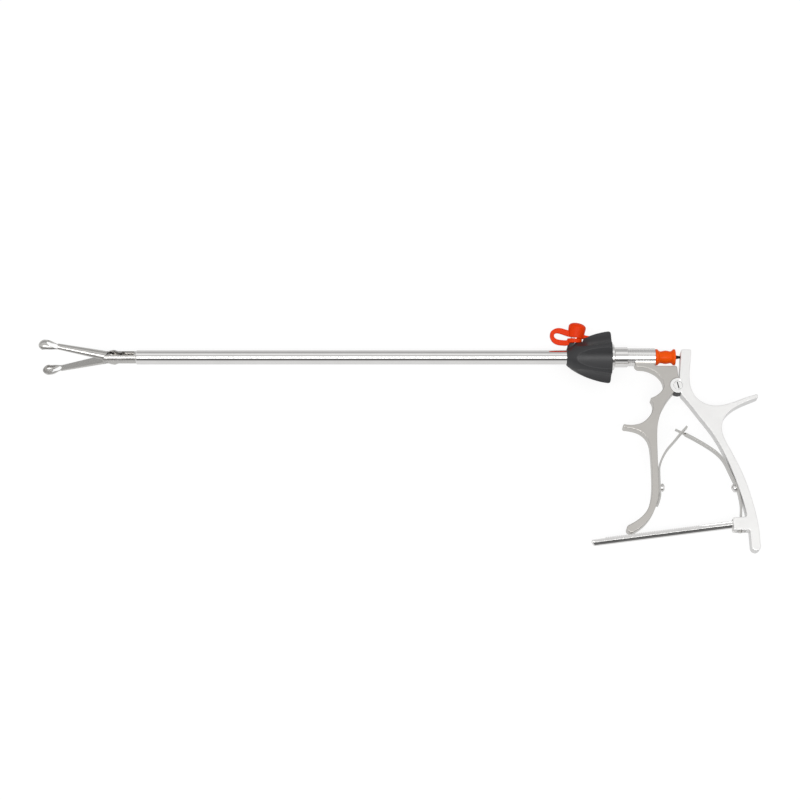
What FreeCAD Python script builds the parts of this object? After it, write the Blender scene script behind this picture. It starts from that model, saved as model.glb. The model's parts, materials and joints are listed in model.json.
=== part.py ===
import FreeCAD, Part
import math
import os

os.makedirs("parts", exist_ok=True)

# Frame: the origin is on the shaft axis at the front face of the turning knob. X runs along the
# shaft towards the handle, the handle hangs towards -Y, and Z is square to the handle's plane.
# The instrument lies on a table, so Z points up. All sizes are in millimetres and degrees.

# Shaft tube
tube_radius = 5.0
tube_wall = 0.8
working_length = 298.5
tube_chamfer = 0.5
tube_tail = 19.0
tube_tail_radius = 4.7
port_roll = 20.0
jaw_roll = 65.0

# Fork at the front of the tube
pivot_to_tube = 18.4
fork_radius = 4.3
fork_nose_radius = 4.5
fork_slot_width = 3.8
fork_slot_length = 17.0
fork_spigot_length = 9.0

# Jaws
jaw_length = 49.4
jaw_open = 14.0
jaw_base_radius = 3.9
jaw_neck_radius = 2.4
jaw_neck_flat = 1.2
head_length = 15.6
head_radius = 4.4
head_wall = 1.0
lip_length = 3.2
window_length = 8.4
window_width = 5.0
window_from_tip = 5.0
tail_thickness = 1.2
tail_radius = 4.1
tail_heel = 4.85
tail_length = 9.6
jaw_pin_radius = 1.0

# Drive: the rod pulls a cross pin through the curved slots of the two jaw tails
rod_radius = 1.5
tongue_thickness = 1.1
tongue_radius = 1.6
tongue_length = 10.5
drive_pin_radius = 0.6
drive_pin_reach = 3.2
drive_stroke = 4.8

# Turning knob
knob_length = 31.0
knob_front_radius = 6.2
knob_radius = 18.0
knob_corner = 1.6
knob_lip_radius = 11.5
scoop_count = 6
scoop_radius = 12.0
scoop_floor_front = 10.4
scoop_floor_rear = 14.2
scoop_start = 6.4
scoop_phase = 33.0
collar_radius = 9.0
collar_length = 1.9
set_screw_radius = 1.5
set_screw_place = 24.0

# Flushing port and its cap
port_place = 3.5
port_lean = 11.0
port_radius = 2.5
port_bore_radius = 1.2
port_boss_radius = 4.3
port_boss_height = 11.0
port_collar_radius = 3.4
port_collar_thickness = 1.1
port_nose_radius = 2.1
port_nose_length = 5.6
tether_thickness = 1.8
tether_ring_radius = 4.8
tether_width = 4.0
tether_band = 3.4
tether_bend_inner = 2.1
tether_bend_place = -8.2
tether_bend_height = 12.5
cap_foot_radius = 5.3
cap_top_radius = 6.0
cap_height = 9.6
cap_wall = 2.0
cap_tab_length = 4.6

# Barrel of the handle
sleeve_radius = 7.05
sleeve_length = 9.1
barrel_radius = 6.3
barrel_end = 61.2
barrel_nose_radius = 6.0
seal_radius = 5.6
seal_waist_radius = 4.4
seal_length = 14.2
seal_flange = 2.3
seal_spigot_radius = 3.0
seal_spigot_length = 4.0

# Handle arms
arm_thickness = 8.0
arm_edge_round = 0.6
web_cove_radius = 4.0
pivot_x = 76.0
pivot_y = -22.1
boss_radius = 5.5
pivot_screw_radius = 2.2
pivot_head_radius = 3.1
pivot_head_height = 1.5
screw_slot_width = 0.7
screw_slot_depth = 0.7
ball_radius = 2.0
ball_place = 82.9
ball_neck_radius = 0.9
rod_nose_end = 78.2
pocket_depth = 4.6

# Return springs
leaf_thickness = 0.8
leaf_width = 5.0
tongue_width = 1.8
leaf_screw_radius = 1.3
leaf_head_radius = 2.9
leaf_head_height = 1.9
leaf_screw_depth = 3.2
front_screw_height = -94.8
rear_screw_x = 113.35
rear_screw_y = -95.0
rear_screw_angle = 195.8

# Ratchet
hinge_x = 114.2
hinge_y = -120.4
bar_slope = 7.5
bar_length = 101.6
bar_height = 4.4
bar_thickness = 5.0
bar_round = 1.3
tooth_pitch = 1.5
tooth_height = 0.7
tooth_start = 28.5
ratchet_pin_radius = 1.25
block_slot_width = 5.3
plunger_radius = 1.25
plunger_place = 113.4

# Clearances
seat_gap = 0.02
run_gap = 0.05
side_gap = 0.075
swing_gap = 0.12
ball_gap = 0.12

pivot_jaw_x = -(working_length + pivot_to_tube)
tube_bore = tube_radius - tube_wall
knob_bore = tube_tail_radius + seat_gap
tube_end = knob_length + tube_tail
half_arm = arm_thickness / 2

X = FreeCAD.Vector(1, 0, 0)
Y = FreeCAD.Vector(0, 1, 0)
Z = FreeCAD.Vector(0, 0, 1)
ORIGIN = FreeCAD.Vector(0, 0, 0)


def at(x, y, z=0.0):
    return FreeCAD.Vector(x, y, z)


def cylinder(radius, start, axis, length):
    return Part.makeCylinder(radius, length, start, axis)


def box(low, high):
    return Part.makeBox(high[0] - low[0], high[1] - low[1], high[2] - low[2], at(*low))


def curve(points):
    line = Part.BSplineCurve()
    line.interpolate(points)
    return line.toShape()


def outline(start, *steps):
    """Closed wire in the XY plane: a point is a line, a pair of points an arc, a list a curve."""
    here = at(*start)
    edges = []
    for step in steps:
        if isinstance(step, list):
            points = [at(*p) for p in step]
            edges.append(curve([here] + points))
            here = points[-1]
        elif isinstance(step[0], tuple):
            through, end = at(*step[0]), at(*step[1])
            edges.append(Part.Arc(here, through, end).toShape())
            here = end
        else:
            end = at(*step)
            edges.append(Part.makeLine(here, end))
            here = end
    if here.distanceToPoint(at(*start)) > 1e-6:
        edges.append(Part.makeLine(here, at(*start)))
    return Part.Wire(edges)


def slab(wire, low, high):
    """The wire's face, raised from z = low to z = high."""
    face = Part.Face(wire)
    face.translate(at(0, 0, low))
    return face.extrude(at(0, 0, high - low))


def turned(wire):
    """The wire's face, turned once about the X axis."""
    return Part.Face(wire).revolve(ORIGIN, X, 360)


def joined(first, *others):
    return first.fuse(list(others)).removeSplitter()


def rounded_rim(solid, radius):
    """Rounds the edges that lie in the two flat faces square to Z."""
    top, low = solid.BoundBox.ZMax, solid.BoundBox.ZMin
    rims = []
    for edge in solid.Edges:
        box_z = edge.BoundBox
        flat = box_z.ZLength < 1e-4
        if flat and (abs(box_z.ZMax - top) < 1e-4 or abs(box_z.ZMin - low) < 1e-4):
            rims.append(edge)
    return solid.makeFillet(radius, rims)


def placed_tool(shape):
    """Moves a piece of the jaw end from the jaw pivot's own frame to its place on the shaft."""
    shape.translate(at(pivot_jaw_x, 0, 0))
    shape.rotate(ORIGIN, X, jaw_roll)
    return shape


# Jaw end, modelled with the jaw pivot at the origin, Z along the pivot and Y the opening direction


def cam_slot():
    """The slot that lets the cross pin, pulled in a straight line, turn the jaw at an even rate."""
    half = drive_pin_radius + run_gap
    past = 0.6
    sides = {1: [], -1: []}
    ends = []
    stations = 6
    for i in range(stations + 1):
        swing = -past + (jaw_open + 2 * past) * i / stations
        reach = drive_pin_reach + drive_stroke * (1 - swing / jaw_open)
        turn = math.radians(swing)
        rate = -drive_stroke / math.radians(jaw_open)
        centre = at(reach * math.cos(turn), reach * math.sin(turn))
        run = at(rate * math.cos(turn) - reach * math.sin(turn), rate * math.sin(turn) + reach * math.cos(turn))
        run.normalize()
        for side in sides:
            sides[side].append(centre + at(-run.y, run.x) * (half * side))
        if i in (0, stations):
            ends.append(centre)
    left, right = sides[1], sides[-1]
    wire = Part.Wire([
        curve(left),
        Part.makeLine(left[-1], right[-1]),
        curve(right[::-1]),
        Part.makeLine(right[0], left[0]),
    ])
    deep = fork_slot_width
    slot = slab(wire, -deep, deep)
    return slot.fuse([cylinder(half, end - Z * deep, Z, 2 * deep) for end in ends])


def half_round(x, width, flat, top):
    """D-shaped section square to X, flat side towards the other jaw."""
    low, high = at(x, flat, -width), at(x, flat, width)
    return Part.Wire([
        Part.Arc(low, at(x, top, 0), high).toShape(),
        Part.makeLine(high, low),
    ])


def jaw_arm():
    rear = -fork_nose_radius / 2
    neck = -(jaw_length - head_length + 2.6)
    base_depth = jaw_base_radius + seat_gap
    arm = Part.makeLoft([
        half_round(rear, jaw_base_radius, swing_gap, base_depth),
        half_round(neck, jaw_neck_radius, jaw_neck_flat, jaw_neck_flat + jaw_neck_radius),
    ], True)
    shoulder = cylinder(fork_nose_radius + swing_gap, at(0, 0, -tube_radius), Z, 2 * tube_radius)
    return arm.cut(shoulder)


def teardrop(inset):
    """Round-ended head that narrows back to the arm, or its hollow when inset by the wall."""
    tip = -jaw_length + inset
    rear = -jaw_length + head_length - inset
    widest = head_radius - inset
    neck = jaw_neck_radius - inset
    return turned(outline(
        (tip, 0), ((tip + widest * 0.293, widest * 0.707), (tip + widest, widest)),
        [(tip + widest * 1.55, widest * 0.985), (rear - 4.6, neck + 0.85), (rear - 1.6, neck + 0.05), (rear, neck - 0.15)],
        (rear, 0),
    ))


def cupped_head():
    """Spoon with a window, whose tip lip alone meets the other jaw."""
    outer = teardrop(0).common(box((-jaw_length - 1, run_gap, -head_radius), (0, head_radius, head_radius)))
    tip = -jaw_length
    rim = outline(
        (tip - 2, -1), (tip - 2, run_gap), (tip + lip_length, run_gap),
        [(tip + lip_length + 1.2, jaw_neck_flat * 0.6), (tip + lip_length + 3, jaw_neck_flat)],
        (-jaw_length + head_length + 4, jaw_neck_flat), (-jaw_length + head_length + 4, -1),
    )
    return outer.cut(slab(rim, -2 * head_radius, 2 * head_radius))


def head_hollow():
    hollow = teardrop(head_wall)
    front = -jaw_length + window_from_tip
    rear = front + window_length
    half = window_width / 2
    window = box((front + half, 0, -half), (rear - half, 2 * head_radius, half))
    ends = [cylinder(half, at(x, 0, 0), Y, 2 * head_radius) for x in (front + half, rear - half)]
    return hollow.fuse([window] + ends)


def jaw_tail():
    """Flat tail between the fork's ears, round at the pivot and trimmed to the shaft's diameter."""
    inner = tongue_thickness / 2 + side_gap
    outer = inner + tail_thickness
    pad = cylinder(tail_radius, at(0, 0, inner), Z, tail_thickness)
    rear = outline(
        (0, -tail_radius), (2.6, -tail_heel + 0.12), ((3.7, -tail_heel), (4.6, -tail_heel * 0.9)),
        (7.4, -tail_radius * 0.5), (tail_length, -tail_radius * 0.4),
        (tail_length, tail_radius * 0.3), (tail_length * 0.5, tail_radius * 0.7), (0, tail_radius),
    )
    bridge = box((-fork_nose_radius * 1.6, swing_gap, inner), (0, tail_radius * 0.8, outer))
    bridge = bridge.common(cylinder(jaw_base_radius, at(-20, 0, 0), X, 30))
    tail = pad.fuse([slab(rear, inner, outer), bridge])
    return tail.common(cylinder(tail_heel, at(-20, 0, 0), X, 40))


def jaw():
    whole = joined(jaw_arm(), cupped_head(), jaw_tail())
    pivot_hole = cylinder(jaw_pin_radius + run_gap, at(0, 0, -tube_radius), Z, 2 * tube_radius)
    whole = whole.cut([head_hollow(), cam_slot(), pivot_hole]).removeSplitter()
    whole.rotate(ORIGIN, Z, -jaw_open)
    return whole


def fork():
    nose = cylinder(fork_nose_radius, at(0, 0, -fork_radius), Z, 2 * fork_radius)
    front = cylinder(fork_radius, at(-fork_nose_radius, 0, 0), X, fork_nose_radius)
    body = cylinder(fork_radius, ORIGIN, X, pivot_to_tube)
    spigot = cylinder(tube_bore - seat_gap, at(pivot_to_tube, 0, 0), X, fork_spigot_length)
    whole = joined(front.common(nose), body, spigot)
    half = fork_slot_width / 2
    slot = box((-fork_nose_radius - 1, -tube_radius, -half), (fork_slot_length, tube_radius, half))
    rod_hole = cylinder(rod_radius + run_gap, ORIGIN, X, pivot_to_tube + fork_spigot_length)
    pin_hole = cylinder(jaw_pin_radius + seat_gap, at(0, 0, -tube_radius), Z, 2 * tube_radius)
    return whole.cut([slot, rod_hole, pin_hole])


def jaw_pin():
    pin = cylinder(jaw_pin_radius, at(0, 0, -fork_radius), Z, 2 * fork_radius)
    return pin.common(cylinder(fork_radius, at(-fork_radius, 0, 0), X, 2 * fork_radius))


def rod_tongue():
    """Flat eye on the end of the rod, between the two jaw tails."""
    half = tongue_thickness / 2
    flat_height = rod_radius * 0.92
    eye = cylinder(tongue_radius, at(drive_pin_reach, 0, -half), Z, tongue_thickness)
    flat = box((drive_pin_reach, -flat_height, -half), (tongue_length + 1, flat_height, half))
    hole = cylinder(drive_pin_radius + seat_gap, at(drive_pin_reach, 0, -half), Z, tongue_thickness)
    return eye.fuse(flat).cut(hole)


def drive_pin():
    length = tongue_thickness + 2 * (side_gap + tail_thickness)
    return cylinder(drive_pin_radius, at(drive_pin_reach, 0, -length / 2), Z, length)


# Shaft and rod


def pull_rod():
    start = tongue_length
    length = barrel_end + seal_length - pivot_jaw_x - start
    rod = cylinder(rod_radius, at(start, 0, 0), X, length)
    rod = joined(rod, rod_tongue())
    placed_tool(rod)
    nose_start = barrel_end + seal_length
    nose = Part.makeCone(rod_radius, ball_neck_radius, rod_nose_end - nose_start, at(nose_start, 0, 0), X)
    neck = cylinder(ball_neck_radius, at(rod_nose_end, 0, 0), X, ball_place - rod_nose_end - ball_radius * 0.75)
    return joined(rod, nose, neck)


def ball_end():
    ball = Part.makeSphere(ball_radius, at(ball_place, 0, 0))
    return ball.cut(cylinder(ball_neck_radius + seat_gap, at(ball_place - 2 * ball_radius, 0, 0), X, 1.25 * ball_radius))


def outer_tube():
    front = cylinder(tube_radius, at(-working_length, 0, 0), X, working_length)
    tube = joined(front, cylinder(tube_tail_radius, ORIGIN, X, tube_end))
    bevel = Part.makeCone(
        tube_radius - tube_chamfer, tube_radius, tube_chamfer, at(-working_length, 0, 0), X
    )
    end = cylinder(tube_radius + 1, at(-working_length, 0, 0), X, tube_chamfer)
    tube = tube.cut(end.cut(bevel))
    bore = cylinder(tube_bore, at(-working_length - 1, 0, 0), X, working_length + tube_end + 2)
    port_hole = along_port(port_cylinder(port_radius + seat_gap, 0, tube_radius + 2))
    return tube.cut([bore, port_hole])


def rod_guide():
    start = tube_end - 12
    guide = cylinder(tube_bore - seat_gap, at(start, 0, 0), X, 8)
    return guide.cut(cylinder(rod_radius + run_gap, at(start - 1, 0, 0), X, 10))


# Turning knob, port and cap


def knob_blank():
    rear = knob_length
    profile = outline(
        (0, 0), (0, knob_front_radius - 1.2), ((0.3, knob_front_radius - 0.4), (1.0, knob_front_radius + 0.2)),
        [
            (3.8, knob_radius * 0.49), (8.2, knob_radius * 0.635), (12.6, knob_radius * 0.745),
            (17.1, knob_radius * 0.845), (21.5, knob_radius * 0.92), (26.0, knob_radius * 0.975),
            (rear - knob_corner - 0.4, knob_radius),
        ],
        (
            (rear - knob_corner * 0.4, knob_radius - knob_corner * 0.35),
            (rear - 0.4, knob_radius - knob_corner * 1.3),
        ),
        (rear - 0.4, 0),
    )
    return turned(profile)


def scoop(angle):
    """Finger scoop, a round cutter that runs along the knob and leaves deeper at the rear."""
    rise = math.atan2(scoop_floor_rear - scoop_floor_front, knob_length - scoop_start)
    along = at(math.cos(rise), math.sin(rise))
    start = at(scoop_start, scoop_floor_front + scoop_radius / math.cos(rise)) - along * 20
    cutter = cylinder(scoop_radius, start, along, 70)
    cutter.rotate(ORIGIN, X, angle)
    return cutter


def rotation_knob():
    scoops = [scoop(scoop_phase + 360 * i / scoop_count) for i in range(scoop_count)]
    knob = knob_blank().cut(scoops)
    boss = along_port(port_cylinder(port_boss_radius, tube_radius, port_boss_height))
    spot = port_cylinder(cap_top_radius + 0.5, port_boss_height, 2 * port_boss_height)
    notch_end = port_place + cap_foot_radius + cap_tab_length + 0.5
    notch = box((port_place, cap_low - 1.1, -2.4), (notch_end, 2 * port_boss_height, 2.4))
    knob = joined(knob, boss).cut(along_port(spot.fuse(notch)))
    rear_lip = cylinder(knob_lip_radius, at(knob_length - 1, 0, 0), X, 1.0)
    bore = cylinder(knob_bore, at(0.6, 0, 0), X, knob_length)
    mouth = cylinder(tube_radius + seat_gap, at(-1, 0, 0), X, 1.7)
    port_hole = along_port(port_cylinder(port_radius + seat_gap, 0, port_boss_height + 1))
    screw_hole = cylinder(set_screw_radius + seat_gap, at(set_screw_place, 0, 0), -Y, knob_radius + 1)
    return joined(knob, rear_lip).cut([bore, mouth, port_hole, screw_hole])


def knob_set_screw():
    screw = cylinder(set_screw_radius, at(set_screw_place, 0, 0), -Y, 11)
    screw = screw.cut(cylinder(tube_tail_radius, at(0, 0, 0), X, knob_length))
    socket = cylinder(set_screw_radius * 0.5, at(set_screw_place, -tube_radius - 4, 0), -Y, 4)
    return screw.cut(socket)


def knob_collar():
    ring = cylinder(collar_radius, at(knob_length + seat_gap, 0, 0), X, collar_length)
    ring = ring.makeFillet(0.4, [e for e in ring.Edges if e.BoundBox.XLength < 1e-4])
    return ring.cut(cylinder(knob_bore, at(0, 0, 0), X, tube_end))


tether_low = port_boss_height + seat_gap
tether_high = tether_low + tether_thickness
port_collar_low = tether_high + seat_gap
cap_low = port_collar_low + port_collar_thickness + 0.1


def along_port(shape):
    """Leans a piece built along Y over the shaft back to the port's own axis."""
    shape.rotate(at(port_place, 0, 0), Z, -port_lean)
    return shape


def rolled(shape):
    """Turns the port side of the shaft from straight up to where it rests."""
    shape.rotate(ORIGIN, X, port_roll)
    return shape


def port_cylinder(radius, low, high):
    return cylinder(radius, at(port_place, low, 0), Y, high - low)


def flush_port():
    foot = port_cylinder(port_radius, tube_bore + 0.4, port_collar_low)
    collar = port_cylinder(port_collar_radius, port_collar_low, port_collar_low + port_collar_thickness)
    nose = port_cylinder(port_nose_radius, port_collar_low, cap_low + port_nose_length)
    bore = port_cylinder(port_bore_radius, 0, cap_low + 2 * port_nose_length)
    return along_port(joined(foot, collar, nose).cut(bore))


def flush_cap():
    body = Part.makeCone(cap_foot_radius, cap_top_radius, cap_height, at(port_place, cap_low, 0), Y)
    body = body.makeFillet(1.0, [e for e in body.Edges if e.BoundBox.YLength < 1e-4])
    tab_end = port_place + cap_foot_radius + cap_tab_length
    tab = box((port_place + cap_foot_radius - 1.2, cap_low - 0.8, -2), (tab_end, cap_low + 1.4, 2))
    tab = tab.makeFillet(0.7, [e for e in tab.Edges if e.BoundBox.XMin > tab_end - 1])
    hollow_height = port_nose_length + 0.4
    hollow = port_cylinder(cap_foot_radius - cap_wall, cap_low - 1, cap_low + hollow_height)
    plug = port_cylinder(port_bore_radius - seat_gap, cap_low + 2, cap_low + hollow_height + 1)
    return along_port(joined(body, tab).cut(hollow).fuse(plug).removeSplitter())


def cap_tether():
    """Ring round the port and a band that turns back on itself to the side of the cap."""
    ring = port_cylinder(tether_ring_radius, tether_low, tether_high)
    inner, outer = tether_bend_inner, tether_bend_inner + tether_band
    x, y = tether_bend_place, tether_bend_height
    boss_side = port_place - port_boss_radius - 0.1
    ring_side = port_place - tether_ring_radius * 0.55
    cap_side = port_place - cap_foot_radius - 0.6
    band = slab(
        outline(
            (ring_side, tether_high), (x + 2.4, y - inner), ((x - inner * 1.5, y - 0.3), (x + 1.6, y + inner)),
            (cap_side - 0.3, y + inner + 0.6), (cap_side - 0.5, y + outer + 0.4), (x + 0.4, y + outer),
            ((x - outer * 0.98, y - 0.8), (x + 3.4, y - outer)), (boss_side, tether_low), (ring_side, tether_low),
        ),
        -tether_width / 2, tether_width / 2,
    )
    hole = port_cylinder(port_radius + run_gap, 0, 2 * port_boss_height)
    return along_port(joined(ring, band).cut(hole))


# Handle


def coupling_sleeve():
    start = knob_length + collar_length + 0.3
    ring = cylinder(sleeve_radius, at(start, 0, 0), X, sleeve_length)
    ring = ring.makeFillet(0.4, [e for e in ring.Edges if e.BoundBox.XLength < 1e-4])
    shell = cylinder(barrel_nose_radius + seat_gap, at(start + 1, 0, 0), X, sleeve_length)
    return ring.cut([shell, cylinder(tube_tail_radius + run_gap, at(0, 0, 0), X, tube_end)])


def rod_seal():
    """Rubber bobbin that the rod slides through."""
    start, end = barrel_end + seat_gap, barrel_end + seal_length
    waist = seal_waist_radius
    half = (start + end) / 2
    profile = outline(
        (start - seal_spigot_length, 0), (start - seal_spigot_length, seal_spigot_radius),
        (start, seal_spigot_radius), (start, seal_radius - 0.4),
        ((start + 0.2, seal_radius - 0.1), (start + 0.7, seal_radius)),
        (start + seal_flange * 0.55, seal_radius),
        [(start + seal_flange * 1.3, waist + 0.25), (half, waist + 0.1), (end - seal_flange * 1.3, waist + 0.25),
         (end - seal_flange * 0.55, seal_radius)],
        (end - 0.7, seal_radius), ((end - 0.2, seal_radius - 0.1), (end, seal_radius - 0.6)),
        (end, 0),
    )
    return turned(profile).cut(cylinder(rod_radius + run_gap, at(0, 0, 0), X, 200))


def front_outline():
    """Fixed arm: web, finger bow, spur, finger hook, shank and the foot that carries the pawl."""
    return outline(
        (60.0, -2.0), (60.6, -6.4), ((61.0, -7.3), (61.9, -7.7)), (74.4, -7.7), ((75.7, -8.2), (76.1, -9.4)),
        (76.5, -16.4), (72.9, -27.0),
        [(67.3, -34.3), (64.7, -38.9), (62.4, -44.4), (60.7, -51.4), (60.0, -60.0), (59.8, -68.0), (front_face, -76.9)],
        (front_face, -98.5),
        [(58.7, -104.4), (56.6, -110.2), (52.4, -117.6), (46.9, -123.3), (42.0, -126.6)],
        ((39.9, -127.5), (37.9, -126.6)), ((36.8, -124.4), (38.1, -122.2)),
        [(44.0, -118.8), (50.4, -112.6), (53.9, -104.0), (55.1, -95.1), (55.4, -84.2), (55.1, -70.1),
         (53.3, -61.0), (49.0, -56.1), (43.0, -53.7), (38.3, -52.9)],
        ((37.0, -51.7), (38.3, -50.5)),
        [(43.5, -50.9), (50.1, -49.2), (55.2, -44.8), (58.1, -38.2), (57.9, -34.6), (56.9, -32.6)],
        ((56.8, -31.7), (57.7, -31.1)),
        [(63.2, -27.6), (66.0, -23.3), (65.4, -18.0), (62.1, -13.4), (56.8, -10.1), (49.6, -8.8)],
        ((47.6, -7.6), (46.9, -5.4)), (46.9, -2.0),
    )


def web_root():
    """Cove that runs the round barrel into the flat web on both faces."""
    cove = web_cove_radius
    reach = barrel_radius + cove
    drop = half_arm + cove
    centre = -math.sqrt(reach ** 2 - drop ** 2)
    on_barrel = at(0, centre * barrel_radius / reach, drop * barrel_radius / reach)
    middle = at(0, centre, drop) + (at(0, 0.5, -0.9)).normalize() * cove
    tangent = at(0, centre, half_arm)
    root = Part.Wire([
        Part.Arc(on_barrel, middle, tangent).toShape(),
        Part.makeLine(tangent, at(0, centre, 0)),
        Part.makeLine(at(0, centre, 0), at(0, on_barrel.y, 0)),
        Part.makeLine(at(0, on_barrel.y, 0), on_barrel),
    ])
    start = 47.4
    near = Part.Face(root).extrude(X * (barrel_end - start))
    near.translate(at(start, 0, 0))
    return near, near.mirror(ORIGIN, Z)


def front_handle():
    arm = rounded_rim(slab(front_outline(), -half_arm, half_arm), arm_edge_round)
    sleeve_start = knob_length + collar_length + 0.3
    nose = cylinder(barrel_nose_radius, at(sleeve_start + 1 + seat_gap, 0, 0), X, sleeve_length)
    sleeve_end = sleeve_start + sleeve_length + seat_gap
    barrel = cylinder(barrel_radius, at(sleeve_end, 0, 0), X, barrel_end - sleeve_end)
    arm = arm.cut(box((0, -10, -half_arm - 1), (sleeve_end, 10, half_arm + 1)))
    pivot = at(pivot_x, pivot_y)
    tongue = cylinder(boss_radius, pivot - Z * half_arm, Z, half_arm - run_gap)
    recess = cylinder(boss_radius + swing_gap, pivot, Z, half_arm + 1)
    whole = joined(arm.cut(recess), nose, barrel, tongue, *web_root())
    tube_hole = cylinder(tube_tail_radius + run_gap, at(0, 0, 0), X, tube_end + 0.2)
    rod_hole = cylinder(rod_radius + 0.2, at(0, 0, 0), X, 200)
    seal_hole = cylinder(seal_spigot_radius + seat_gap, at(barrel_end - seal_spigot_length, 0, 0), X, 30)
    screw_hole = cylinder(pivot_screw_radius + seat_gap, pivot - Z * 10, Z, 20)
    leaf_hole = cylinder(leaf_screw_radius + seat_gap, at(70, front_screw_height, 0), -X, 70 - front_face + leaf_screw_depth)
    return whole.cut([tube_hole, rod_hole, seal_hole, screw_hole, leaf_hole])


front_face = 59.75


def lever_outline():
    """Moving arm: rod end, pivot, thumb prong, curved shank, ratchet block and foot."""
    return outline(
        (76.8, -22.1), (77.2, -16.3), (79.1, 3.0), ((79.5, 4.0), (80.6, 4.5)), (85.2, 4.5),
        ((86.1, 4.1), (86.3, 3.1)),
        [(85.5, -3.9), (84.5, -12.0), (84.5, -22.1), (86.4, -28.1), (89.7, -32.4), (94.4, -35.5),
         (102.0, -36.9), (109.1, -35.7), (118.4, -32.4), (128.4, -29.0)],
        ((130.7, -29.9), (129.6, -31.3)),
        [(118.9, -35.9), (111.6, -40.3), (106.4, -46.2), (104.5, -54.6), (107.8, -65.0), (116.6, -85.0),
         (122.7, -106.5), (125.6, -125.2), (125.9, -135.4)],
        ((122.8, -140.0), (119.7, -136.8)),
        (119.4, -126.4), ((119.2, -125.8), (118.6, -125.6)), (109.6, -125.6), ((108.8, -125.3), (108.5, -124.6)),
        (108.3, -118.0), ((108.7, -117.2), (109.5, -116.9)), (116.3, -116.4),
        ((117.5, -115.7), (117.8, -114.4)),
        [(115.5, -103.1), (112.1, -91.0), (105.0, -71.1), (96.5, -54.8), (89.1, -44.2), (81.9, -33.9), (78.0, -29.0)],
    )


def thumb_lever():
    arm = rounded_rim(slab(lever_outline(), -half_arm, half_arm), arm_edge_round)
    pivot = at(pivot_x, pivot_y)
    boss = cylinder(boss_radius, pivot, Z, half_arm)
    boss = boss.makeFillet(0.3, [e for e in boss.Edges if e.BoundBox.ZMin > half_arm - 0.01])
    relief = cylinder(boss_radius + swing_gap, pivot - Z * (half_arm + 1), Z, half_arm + 1)
    whole = joined(arm.cut(relief), boss)
    screw_hole = cylinder(pivot_screw_radius + run_gap, pivot, Z, 10)
    head_hole = cylinder(pivot_head_radius + run_gap, pivot + Z * (half_arm - pivot_head_height), Z, 10)
    pocket = cylinder(ball_radius + ball_gap, at(ball_place, -pocket_depth, 0), Y, 20)
    neck_slot = box((70, -pocket_depth, -ball_neck_radius - 0.3), (ball_place, 20, ball_neck_radius + 0.3))
    half_slot = block_slot_width / 2
    bar_slot = box((hinge_x - 20, hinge_y - 5.9, -half_slot), (hinge_x + 2.9, hinge_y + 3.0, half_slot))
    hinge_hole = cylinder(ratchet_pin_radius + seat_gap, at(hinge_x, hinge_y, -10), Z, 20)
    plunger_hole = cylinder(plunger_radius + seat_gap, at(plunger_place, hinge_y - 12, 0), Y, 8)
    leaf_hole = rear_screw_part(leaf_screw_radius + seat_gap, -leaf_screw_depth - 0.2, leaf_screw_depth + 5)
    return whole.cut([screw_hole, head_hole, pocket, neck_slot, bar_slot, hinge_hole, plunger_hole, leaf_hole])


def pivot_screw():
    pivot = at(pivot_x, pivot_y)
    top = half_arm + 0.05
    head_low = half_arm - pivot_head_height + run_gap
    head = cylinder(pivot_head_radius, pivot + Z * head_low, Z, top - head_low)
    head = head.makeFillet(0.25, [e for e in head.Edges if e.BoundBox.ZMin > top - 0.01])
    shank = cylinder(pivot_screw_radius, pivot - Z * half_arm, Z, half_arm + head_low)
    half = screw_slot_width / 2
    slot = box((-2.4, -half, top - screw_slot_depth), (2.4, half, top + 1))
    slot.rotate(ORIGIN, Z, 103)
    slot.translate(pivot)
    return joined(head, shank).cut(slot)


# Return springs


def leaf(points, half_width):
    """Bent strip: the points are its middle line, and its ends are square."""
    middle = Part.BSplineCurve()
    middle.interpolate([at(*p) for p in points])
    low, high = middle.FirstParameter, middle.LastParameter
    stations = 2 * len(points)
    sides = {1: [], -1: []}
    for i in range(stations + 1):
        u = low + (high - low) * i / stations
        run = middle.tangent(u)[0]
        for side in sides:
            sides[side].append(middle.value(u) + at(-run.y, run.x) * (side * leaf_thickness / 2))
    left, right = sides[1], sides[-1]
    wire = Part.Wire([
        curve(left),
        Part.makeLine(left[-1], right[-1]),
        curve(right[::-1]),
        Part.makeLine(right[0], left[0]),
    ])
    return slab(wire, -half_width, half_width)


front_leaf_middle = front_face + leaf_thickness / 2 + seat_gap


def front_leaf():
    x = front_leaf_middle
    strip = leaf([
        (x, -101.8), (x, -94.8), (x, -87.5), (x + 0.35, -80.6), (62.6, -74.8), (66.4, -68.1), (72.0, -61.8),
        (76.4, -56.4), (81.0, -51.4),
    ], leaf_width / 2)
    half = tongue_width / 2 + 0.25
    slot = box((72.8, -60.6, -half), (79.3, -53.0, half))
    hole = cylinder(leaf_screw_radius + seat_gap, at(50, front_screw_height, 0), X, 30)
    return strip.cut([slot, hole])


def rear_leaf():
    strip = leaf([
        (114.3, -116.2), (114.9, -108.3), (114.2, -101.0), (112.74, -94.85), (109.3, -85.9), (105.0, -75.9),
        (100.2, -70.1), (94.0, -65.3), (86.0, -60.2), (78.7, -56.1), (73.0, -53.2),
    ], leaf_width / 2)
    half = tongue_width / 2
    trims = [box((60, -70, half), (86.5, -40, 10)), box((60, -70, -10), (86.5, -40, -half))]
    hole = rear_screw_part(leaf_screw_radius + seat_gap, -10, 20)
    return strip.cut(trims + [hole])


def rear_screw_part(radius, start, length):
    """Cylinder on the rear spring screw's axis, from a depth below the lever's face outwards."""
    turn = math.radians(rear_screw_angle)
    axis = at(math.cos(turn), math.sin(turn))
    return cylinder(radius, at(rear_screw_x, rear_screw_y) + axis * start, axis, length)


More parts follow.
